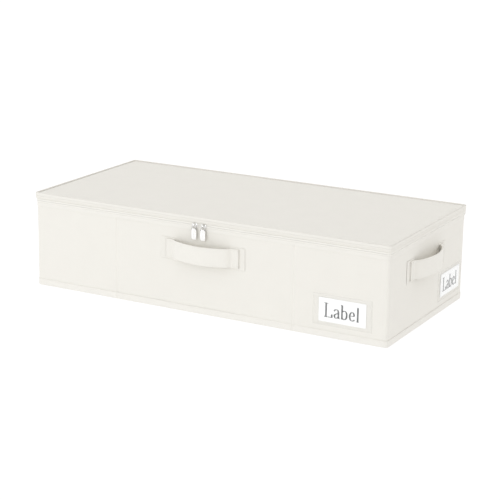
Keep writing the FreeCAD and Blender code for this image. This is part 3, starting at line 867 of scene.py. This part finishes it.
# The label pockets and their cards
pocket = {"length": 116 * mm, "height": 58 * mm, "film": 0.25 * mm, "bulge": 0.95 * mm, "weld": 8 * mm,
          "cardOut": 0.35 * mm, "cardRadius": 1.6 * mm, "cardThickness": 0.28 * mm, "letter": 26.2 * mm,
          "seamIn": 2 * mm, "cardRim": 0.05 * mm, "wordAt": (-1 * mm, 0), "inkOut": 0.01 * mm,
          "filmOut": 0.35 * mm, "column": 4 * mm, "row": 3.6 * mm}


def filmPiece(name, spot, node):
    us = stops(-pocket["length"] / 2, pocket["length"] / 2, pocket["column"])
    ws = stops(-pocket["height"] / 2, pocket["height"] / 2, pocket["row"])
    places = []
    for w in ws:
        for u in us:
            sideways = min(1, max(0, (pocket["length"] / 2 - abs(u) - 2 * mm) / pocket["weld"]))
            upwards = min(1, max(0, (w + pocket["height"] / 2 - 2 * mm) / (pocket["weld"] * 0.6)))
            puff = (3 - 2 * sideways) * sideways ** 2 * (3 - 2 * upwards) * upwards ** 2
            wave = ripple(u, w, 0, 0.03, 3.0) * 0.1 * mm * puff
            places.append(spot.at(u, w, pocket["filmOut"] + pocket["bulge"] * puff * 0.85 + wave))
    wide = len(us)
    faces = [(j * wide + i, j * wide + i + 1, (j + 1) * wide + i + 1, (j + 1) * wide + i)
             for j in range(len(ws) - 1) for i in range(wide - 1)]
    uvs = [tuple((us[k % wide], ws[k // wide]) for k in face) for face in faces]
    piece = newPiece(name, places, faces, "clearFilm", uvs)
    worked(piece, ("SOLIDIFY", {"thickness": pocket["film"], "offset": -1.0}))
    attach(piece, "box")
    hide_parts(node)


def roundedOutline(halfU, halfW, radius, turns=5, middle=(0.0, 0.0)):
    found = []
    for cu, cw, start in ((halfU - radius, radius - halfW, -90), (halfU - radius, halfW - radius, 0),
                          (radius - halfU, halfW - radius, 90), (radius - halfU, radius - halfW, 180)):
        for k in range(turns + 1):
            angle = math.radians(start + 90 * k / turns)
            turned = (cu + radius * math.cos(angle), cw + radius * math.sin(angle))
            found.append((middle[0] + turned[0], middle[1] + turned[1]))
    return found


# A flat plate with softened rims from an outline seen from outside, and a window through it if given
def platePiece(name, outline, low, high, rim, spot, finish, window=None, dome=0.0):
    count = len(outline)
    middle = (sum(u for u, _ in outline) / count, sum(w for _, w in outline) / count)

    def inset(ring, by):
        centre = (sum(u for u, _ in ring) / count, sum(w for _, w in ring) / count)
        far = max(math.dist(p, centre) for p in ring)
        share = by / far * 1.3
        return [(u + (centre[0] - u) * share, w + (centre[1] - w) * share) for u, w in ring]

    small = inset(outline, rim)
    layers = [(small, low), (outline, low + rim), (outline, high - rim), (small, high)]
    if window:
        wide = inset(window, -rim)
        layers += [(wide, high), (window, high - rim), (window, low + rim), (wide, low)]
    places = [spot.at(u, w, out) for ring, out in layers for u, w in ring]
    loops = [(a, a + 1) for a in range(len(layers) - 1)]
    if window:
        loops.append((len(layers) - 1, 0))
    faces = [(a * count + k, a * count + (k + 1) % count, b * count + (k + 1) % count, b * count + k)
             for a, b in loops for k in range(count)]
    if not window:
        base = len(places)
        places += [spot.at(*middle, low), spot.at(*middle, high + dome)]
        faces += [(base, (k + 1) % count, k) for k in range(count)]
        faces += [(base + 1, 3 * count + k, 3 * count + (k + 1) % count) for k in range(count)]
    piece = newPiece(name, places, faces, finish)
    piece.data.set_sharp_from_angle(angle=math.radians(38))
    return piece


# Letters of the word on the cards: strokes of a broad pen, thick upright and thin level, with small feet
letterShapes = {
    "L": (0.66, [[(0.16, 0), (0.16, 0.98)],
                 [(0.02, 0.98), (0.32, 0.98)],
                 [(0.02, 0.02), (0.58, 0.02)],
                 [(0.59, 0.0), (0.60, 0.24)]]),
    "a": (0.50, [[(0.06, 0.50), (0.12, 0.60), (0.24, 0.64), (0.35, 0.58), (0.38, 0.44), (0.38, 0.12),
                  (0.42, 0.03), (0.50, 0.03)],
                 [(0.38, 0.38), (0.20, 0.33), (0.09, 0.24), (0.08, 0.12), (0.16, 0.02), (0.27, 0.03),
                  (0.38, 0.13)]]),
    "b": (0.54, [[(0.10, 0.02), (0.10, 1.0)],
                 [(0.00, 0.98), (0.12, 1.0)],
                 [(0.10, 0.52), (0.20, 0.62), (0.33, 0.62), (0.43, 0.52), (0.46, 0.33), (0.42, 0.13),
                  (0.31, 0.02), (0.19, 0.02), (0.10, 0.12)]]),
    "e": (0.50, [[(0.09, 0.36), (0.42, 0.36), (0.40, 0.52), (0.32, 0.62), (0.22, 0.62), (0.12, 0.52),
                  (0.07, 0.33), (0.11, 0.12), (0.22, 0.02), (0.34, 0.03), (0.44, 0.13)]]),
    "l": (0.26, [[(0.13, 0), (0.13, 1.0)],
                 [(0.07, 0.975), (0.14, 0.985)],
                 [(0.04, 0.018), (0.22, 0.018)]]),
}


def smoothed(line):
    for _ in range(2 if len(line) > 2 else 0):
        cut = [line[0]]
        for a, b in zip(line, line[1:]):
            for share in (0.25, 0.75):
                cut.append((a[0] * (1 - share) + b[0] * share, a[1] * (1 - share) + b[1] * share))
        line = cut + [line[-1]]
    return line


def wordPiece(name, word, height, middle, out, spot):
    thick, thin, gap = 0.122, 0.044, 0.045
    total = sum(letterShapes[letter][0] + gap for letter in word) - gap
    pen, places, faces = -total / 2, [], []
    for letter in word:
        for stroke in letterShapes[letter][1]:
            line = smoothed(stroke)
            for k, (u, w) in enumerate(line):
                before, after = line[max(0, k - 1)], line[min(len(line) - 1, k + 1)]
                du, dw = after[0] - before[0], after[1] - before[1]
                far = math.hypot(du, dw)
                broad = (thin + (thick - thin) * abs(dw / far) ** 1.3) / 2
                for side in (-1, 1):
                    a, b = pen + u - dw / far * broad * side, w + du / far * broad * side
                    places.append(spot.at(middle[0] + a * height, middle[1] + (b - 0.5) * height, out))
                if k:
                    base = len(places) - 4
                    faces.append((base + 1, base, base + 2, base + 3))
        pen += letterShapes[letter][0] + gap
    piece = newPiece(name, places, faces, "ink", smooth=False)
    return worked(piece, ("SOLIDIFY", {"thickness": 0.01 * mm, "offset": 1.0}))


for side, along in (("front", (1, 0, 0)), ("right", (0, 1, 0))):
    cardLow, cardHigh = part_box(f"{side}_label_card")
    pocketMiddle = sum(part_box(f"{side}_label_pocket"), Vector()) / 2
    cardMiddle = (cardLow + cardHigh) / 2
    if side == "front":
        spot, cardSpot = [WallSpot((p.x, -shell.y, p.z), along) for p in (pocketMiddle, cardMiddle)]
        cardHalf = (cardHigh - cardLow).x / 2
    else:
        spot, cardSpot = [WallSpot((shell.x, p.y, p.z), along) for p in (pocketMiddle, cardMiddle)]
        cardHalf = (cardHigh - cardLow).y / 2
    filmPiece(f"{side}LabelPocket", spot, f"{side}_label_pocket")
    outline = roundedOutline(cardHalf, (cardHigh - cardLow).z / 2, pocket["cardRadius"])
    cardFace = pocket["cardOut"] + pocket["cardThickness"]
    card = platePiece(f"{side}LabelCard", outline, pocket["cardOut"], cardFace, pocket["cardRim"],
                      cardSpot, "paperCard")
    word = wordPiece(f"{side}CardWord", "Label", pocket["letter"], pocket["wordAt"],
                     cardFace + pocket["inkOut"], cardSpot)
    for piece in (card, word):
        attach(piece, f"{side}_card")
    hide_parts(f"{side}_label_card")
print("label pockets made")


# The zip sliders and their pulls
slider = {"halfLength": 6 * mm, "halfHeight": 4.1 * mm, "frontOut": 2.5 * mm, "frontThick": 1.4 * mm,
          "backThick": 1.2 * mm, "dome": 0.5 * mm, "rim": 0.35 * mm, "backRim": 0.3 * mm, "postAt": 3.7 * mm,
          "postHalf": (1.5 * mm, 0.7 * mm), "crownRound": 1.75 * mm, "crownWide": 3.2 * mm,
          "crownThick": 0.85 * mm}


def joined(name, *parts):
    with bpy.context.temp_override(active_object=parts[0], selected_editable_objects=list(parts)):
        bpy.ops.object.join()
    parts[0].name = name
    return parts[0]


def ribbonLoop(name, line, width, thickness, spot, finish):
    places, faces = [], []
    for k, (w, out) in enumerate(line):
        before, after = line[max(0, k - 1)], line[min(len(line) - 1, k + 1)]
        dw, do = after[0] - before[0], after[1] - before[1]
        far = math.hypot(dw, do)
        nw, no = -do / far * thickness / 2, dw / far * thickness / 2
        for u, side in ((-width / 2, -1), (width / 2, -1), (width / 2, 1), (-width / 2, 1)):
            places.append(spot.at(u, w + nw * side, out + no * side))
    for k in range(len(line) - 1):
        for j in range(4):
            after = (j + 1) % 4
            faces.append((k * 4 + j, k * 4 + after, (k + 1) * 4 + after, (k + 1) * 4 + j))
    last = (len(line) - 1) * 4
    faces += [(3, 2, 1, 0), (last, last + 1, last + 2, last + 3)]
    piece = newPiece(name, places, faces, finish)
    return worked(piece, ("BEVEL", {"width": thickness * 0.22, "segments": 2, "limit_method": "ANGLE"}))


def sliderShape(side):
    w, h = slider["halfLength"], slider["halfHeight"]
    found = []
    for k in range(40):
        angle = 2 * math.pi * k / 40
        u = math.copysign(abs(math.cos(angle)) ** 0.72, math.cos(angle)) * w
        waist = 0.07 * math.cos(2 * math.pi * u / w / 1.6) * (abs(u) < w * 0.8)
        taper = 1 - 0.16 * (u * side / w + 1) / 2 - waist
        found.append((u, math.copysign(abs(math.sin(angle)) ** 0.66, math.sin(angle)) * h * taper))
    return found


pullShape = {"ringWide": 3.8 * mm, "ringLong": 9 * mm, "foot": 3.4 * mm, "windowWide": 2.45 * mm,
             "windowLong": 3.1 * mm, "bar": 1.5 * mm, "halfThick": 0.6 * mm}


# A narrow ring at the top, shoulders below it and a broad tab with a rounded foot
def pullOutline(wide, long):
    ring, deep, foot = pullShape["ringWide"], pullShape["ringLong"], pullShape["foot"]
    right = []
    for k in range(8):
        angle = math.radians(-80 + 80 * k / 7)
        right.append((wide - foot + foot * math.cos(angle), foot - long + foot * math.sin(angle)))
    right += [(wide, -deep - 2.0 * mm), (wide - 0.3 * mm, -deep - 1.1 * mm)]
    right += [(ring + 0.4 * mm, -deep - 0.2 * mm), (ring, -deep + 0.7 * mm)]
    for k in range(4):
        angle = math.radians(90 * k / 3)
        right.append((ring - 1.8 * mm + 1.8 * mm * math.cos(angle), 1.8 * mm * (math.sin(angle) - 1)))
    return right + [(-u, w) for u, w in right[::-1]]


for side, hand in ((-1, "left"), (1, "right")):
    low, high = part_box(f"{hand}_slider")
    middle = (low + high) / 2
    pullLow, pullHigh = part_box(f"{hand}_zip_pull")
    eyeOut = -shell.y - (pullLow.y + pullHigh.y) / 2
    spot = WallSpot((middle.x, -shell.y, middle.z), (1, 0, 0))
    frontFace = slider["frontOut"]
    frontBack = frontFace - slider["frontThick"]
    wing = platePiece("wing", sliderShape(side), frontBack, frontFace, slider["rim"], spot, "sliderMetal",
                      dome=slider["dome"])
    backOut = -shell.y - high.y
    backShape = [(u * 0.92, w) for u, w in sliderShape(side)]
    backFace = backOut + slider["backThick"]
    back = platePiece("back", backShape, backOut, backFace, slider["backRim"], spot, "sliderMetal")
    postShape = roundedOutline(*slider["postHalf"], slider["rim"], middle=(-side * slider["postAt"], 0))
    post = platePiece("post", postShape, backFace - 0.1 * mm, frontBack + 0.1 * mm, 0.05 * mm, spot,
                      "sliderMetal")
    eyeUp = (pullHigh.z - middle.z) - 0.75 * mm
    arch = [(eyeUp + 2.6 * mm, frontFace - 0.2 * mm), (eyeUp + 2.3 * mm, eyeOut - 0.7 * mm)]
    for k in range(9):
        turn, radius = math.pi * k / 8, slider["crownRound"]
        arch.append((eyeUp + radius * math.cos(turn), eyeOut + radius * math.sin(turn)))
    arch += [(eyeUp - 2.1 * mm, eyeOut - 0.9 * mm), (eyeUp - 3.0 * mm, frontFace - 0.2 * mm)]
    crown = ribbonLoop("crown", arch, slider["crownWide"], slider["crownThick"], spot, "sliderMetal")
    body = joined(f"{hand}ZipSlider", wing, back, post, crown)
    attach(body, f"{hand}_slider")
    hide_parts(f"{hand}_slider")

    pullSpot = WallSpot(((pullLow.x + pullHigh.x) / 2, -shell.y, pullHigh.z), (1, 0, 0))
    halfWide, long = (pullHigh.x - pullLow.x) / 2, pullHigh.z - pullLow.z
    window = roundedOutline(pullShape["windowWide"], pullShape["windowLong"], 1.0 * mm, turns=7,
                            middle=(0, -pullShape["bar"] - pullShape["windowLong"]))
    plate, thick = pullOutline(halfWide, long), pullShape["halfThick"]
    pull = platePiece(f"{hand}ZipPull", plate, eyeOut - thick, eyeOut + thick, 0.22 * mm, pullSpot,
                      "sliderMetal", window=window)
    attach(pull, f"{hand}_pull")
    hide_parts(f"{hand}_zip_pull")
print("sliders made")


# What repeats along a path, stitches and the teeth of the zip, comes from geometry nodes
def rowTree(name, shape, finish):
    tree = bpy.data.node_groups.new(name, "GeometryNodeTree")
    sockets = tree.interface
    sockets.new_socket("Rows", in_out="INPUT", socket_type="NodeSocketGeometry")
    for size in ("Pitch", "Length", "Width", "Height"):
        sockets.new_socket(size, in_out="INPUT", socket_type="NodeSocketFloat")
    sockets.new_socket("Pieces", in_out="OUTPUT", socket_type="NodeSocketGeometry")

    def add(kind, settings=None, **inputs):
        made = tree.nodes.new(kind)
        for key, value in (settings or {}).items():
            setattr(made, key, value)
        for key, value in inputs.items():
            socket = made.inputs[key.replace("_", " ")]
            if isinstance(value, bpy.types.NodeSocket):
                tree.links.new(value, socket)
            else:
                socket.default_value = value
        return made

    given = add("NodeGroupInput").outputs
    spread = add("GeometryNodeCurveToPoints", {"mode": "LENGTH"}, Curve=given["Rows"], Length=given["Pitch"])
    size = add("ShaderNodeCombineXYZ", X=given["Height"], Y=given["Width"], Z=given["Length"])
    if shape == "stitch":
        seed = add("GeometryNodeMeshUVSphere", Segments=6, Rings=4, Radius=0.5).outputs["Mesh"]
    else:
        cube = add("GeometryNodeMeshCube", Size=(1.25, 1.18, 1.3)).outputs["Mesh"]
        seed = add("GeometryNodeSubdivisionSurface", Mesh=cube, Level=1).outputs["Mesh"]
    one = add("GeometryNodeTransform", Geometry=seed, Scale=size.outputs[0])
    smooth = add("GeometryNodeSetShadeSmooth", Geometry=one.outputs[0])
    placed = add("GeometryNodeInstanceOnPoints", Points=spread.outputs["Points"], Instance=smooth.outputs[0],
                 Rotation=spread.outputs["Rotation"])
    real = add("GeometryNodeRealizeInstances", Geometry=placed.outputs[0])
    coloured = add("GeometryNodeSetMaterial", Geometry=real.outputs[0], Material=finishes[finish])
    tree.links.new(coloured.outputs[0], add("NodeGroupOutput").inputs["Pieces"])
    return tree


def rowPiece(name, tree, lines, sizes):
    curve = bpy.data.curves.new(name, "CURVE")
    curve.dimensions = "3D"
    curve.twist_mode = "Z_UP"
    for line, closed in lines:
        spline = curve.splines.new("POLY")
        spline.points.add(len(line) - 1)
        for point, place in zip(spline.points, line):
            point.co = (*place, 1)
        spline.use_cyclic_u = closed
    source = bpy.data.objects.new(name + "Rows", curve)
    scene.collection.objects.link(source)
    rows = source.modifiers.new("rows", "NODES")
    rows.node_group = tree
    for item in tree.interface.items_tree:
        if item.in_out == "INPUT" and item.name in sizes:
            rows[item.identifier] = sizes[item.name]
    graph = bpy.context.evaluated_depsgraph_get()
    mesh = bpy.data.meshes.new_from_object(source.evaluated_get(graph), depsgraph=graph)
    bpy.data.objects.remove(source)
    piece = bpy.data.objects.new(name, mesh)
    scene.collection.objects.link(piece)
    return piece


def around(path, out, height):
    line = [(*(place + outward * out), height) for place, outward in zip(path["places"], path["outs"])]
    return line, path["closed"]


zipRow = {"Pitch": 1.3 * mm, "Length": 0.8 * mm, "Width": 3.3 * mm, "Height": 1.5 * mm, "Behind": 0.85 * mm}
toothTree = rowTree("zipTeethRow", "tooth", "zipTeeth")
toothLift = {"lower": 167.85 * mm, "upper": 169.35 * mm}
for row, body in (("lower", "box"), ("upper", "lid")):
    low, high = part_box(f"{row}_zip_teeth")
    inset = zipRow["Height"] / 2 + zipRow["Behind"]
    start = high.y - (0.4 if row == "lower" else 1.15) * mm
    path = wallPath(high.x - inset, -low.y - inset, wall["radius"], 12 * mm, backEnd=start)
    teeth = rowPiece(f"{row}ZipTeeth", toothTree, [around(path, 0, toothLift[row])], zipRow)
    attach(teeth, body)
    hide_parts(f"{row}_zip_teeth")
print("teeth made")

thread = {"Pitch": 4.0 * mm, "Length": 3.1 * mm, "Width": 0.5 * mm, "Height": 0.42 * mm}
stitchTree = rowTree("stitchRow", "stitch", "thread")


def onWall(spot, line, out, closed=False):
    return [spot.at(u, w, out) for u, w in line], closed


def boxStitch(u0, u1, halfW):
    outline = [(u0, -halfW), (u1, -halfW), (u1, halfW), (u0, halfW)]
    return [(outline, True), ([(u0, -halfW), (u1, halfW)], False), ([(u0, halfW), (u1, -halfW)], False)]


hemStitches = wallPath(hemHalf.x, hemHalf.y, wall["radius"] + hem["thickness"], bindingStep)
rimStitches = wallPath(rimHalf.x, rimHalf.y, wall["radius"] + rim["thickness"], bindingStep)
wallLines = [around(hemStitches, 0.02 * mm, 10.4 * mm), around(rimStitches, 0.02 * mm, rimLow + 1.6 * mm),
             around(capPath, rim["legIn"] - 0.02 * mm, rim["innerLow"] + 1.8 * mm)]
handleLines = []
for spot in walls.values():
    faceOut = strap["lift"] + strap["thickness"] + 0.02 * mm
    for side in (-1, 1):
        ends = (side * (strap["end"] - 11 * mm), side * (strap["end"] - 2 * mm))
        for line, closed in boxStitch(*ends, strap["width"] / 2 - strap["seamIn"]):
            handleLines.append(onWall(spot, line, faceOut, closed))
        outline = roundedOutline((patch["outer"] - patch["inner"]) / 2 - patch["stitchIn"],
                                 patch["height"] / 2 - patch["stitchIn"], 2 * mm,
                                 middle=(side * (patch["outer"] + patch["inner"]) / 2, 0))
        handleLines.append(onWall(spot, outline, patch["thickness"] + 0.14 * mm, True))
    for edgeSide in (-1, 1):
        seamAt, seam = edgeSide * (strap["width"] / 2 - strap["seamIn"]) * 0.985, []
        for place, out in strapRoute()[3:-3]:
            face = place + out * strap["thickness"]
            seam.append(spot.at(face.x, seamAt, face.y + strap["lift"] - 0.2 * mm))
        handleLines.append((seam, False))
for number, node in enumerate(("front_label_pocket", "right_label_pocket")):
    middle = sum(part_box(node), Vector()) / 2
    spot = (WallSpot((middle.x, -shell.y, middle.z), (1, 0, 0)) if number == 0
            else WallSpot((shell.x, middle.y, middle.z), (0, 1, 0)))
    u, w = pocket["length"] / 2 - pocket["seamIn"], pocket["height"] / 2 - pocket["seamIn"]
    handleLines.append(onWall(spot, [(-u, w), (-u, -w), (u, -w), (u, w)], 0.42 * mm))
seamHalf = hingeHalf - 6 * mm
hingeLines = [([(-seamHalf, wallY + 0.4 * mm, z), (seamHalf, wallY + 0.4 * mm, z)], False)
              for z in (lowerLow.z + 2.5 * mm, lowerLow.z + 12 * mm)]
underPath = wallPath(underHalf.x - 8 * mm, underHalf.y - 8 * mm, 4 * mm, 14 * mm)
lidLines = [around(lidPath, -0.2 * mm, bandLow + 2.2 * mm), around(underPath, 0, underLow + 0.02 * mm)]
stitchGroups = (("wallStitches", "box", wallLines), ("handleStitches", "box", handleLines + hingeLines),
                ("lidStitches", "lid", lidLines))
for name, body, lines in stitchGroups:
    stitches = rowPiece(name, stitchTree, lines, thread)
    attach(stitches, body)
print("stitches made")

# The boards keep their own shape and take the board finish
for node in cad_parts.values():
    if not node.hide_render:
        node.data.materials.clear()
        node.data.materials.append(finishes["stiffeningBoard"])
        node.data.polygons.foreach_set("material_index", [0] * len(node.data.polygons))

# Floor, light and camera
studio = {"floorSide": 40.0, "floorGlow": 0.84, "sky": 1.0, "lampPower": 12.0, "lampSide": 1.6,
          "lampPlace": (-0.9, -2.6, 0.42), "lampAim": (0.0, 0.0, 0.08)}


def floorFinish():
    finish = Finish("studioFloor", Roughness=0.9, Emission_Strength=studio["floorGlow"])
    grain = finish.grain(finish.place(), 3.0)
    finish.feed("Base Color", finish.mix(grain, (0.17, 0.17, 0.17, 1), (0.19, 0.19, 0.19, 1)))
    finish.shader.inputs["Emission Color"].default_value = (1, 1, 1, 1)
    return finish.material


finishes["floor"] = floorFinish()
side = studio["floorSide"] / 2
floor = newPiece("studioFloor", [(-side, -side, 0), (side, -side, 0), (side, side, 0), (-side, side, 0)],
                 [(0, 1, 2, 3)], "floor")
floor.location.z = -0.0002
world = bpy.data.worlds.new("studioSky")
world.use_nodes = True
world.node_tree.nodes["Background"].inputs["Color"].default_value = (1, 1, 1, 1)
world.node_tree.nodes["Background"].inputs["Strength"].default_value = studio["sky"]
scene.world = world
lamp = bpy.data.lights.new("frontSoftbox", "AREA")
lamp.energy, lamp.size, lamp.color = studio["lampPower"], studio["lampSide"], (0.92, 0.97, 1.0)
softbox = bpy.data.objects.new("frontSoftbox", lamp)
softbox.location = studio["lampPlace"]
lampBack = Vector(studio["lampPlace"]) - Vector(studio["lampAim"])
softbox.rotation_euler = lampBack.to_track_quat("Z", "Y").to_euler()
scene.collection.objects.link(softbox)
scene.view_settings.view_transform = "Standard"

view = {"azimuth": 28.639, "elevation": 15.455, "roll": 0.850, "distance": 3.0084, "lens": 111.4,
        "target": (-0.009400, 0.023709, 0.075)}
azimuth, elevation, roll = (math.radians(view[key]) for key in ("azimuth", "elevation", "roll"))
away = Vector((math.sin(azimuth) * math.cos(elevation), -math.cos(azimuth) * math.cos(elevation),
               math.sin(elevation)))
level = Vector((math.cos(azimuth), math.sin(azimuth), 0))
upright = away.cross(level)
across = level * math.cos(roll) + upright * math.sin(roll)
upwards = upright * math.cos(roll) - level * math.sin(roll)
eye = bpy.data.objects.new("camera", bpy.data.cameras.new("camera"))
eye.data.lens, eye.data.sensor_width = view["lens"], 36
eye.matrix_world = Matrix((across, upwards, away)).transposed().to_4x4()
eye.location = Vector(view["target"]) + away * view["distance"]
scene.collection.objects.link(eye)
scene.camera = eye

print("scene made")
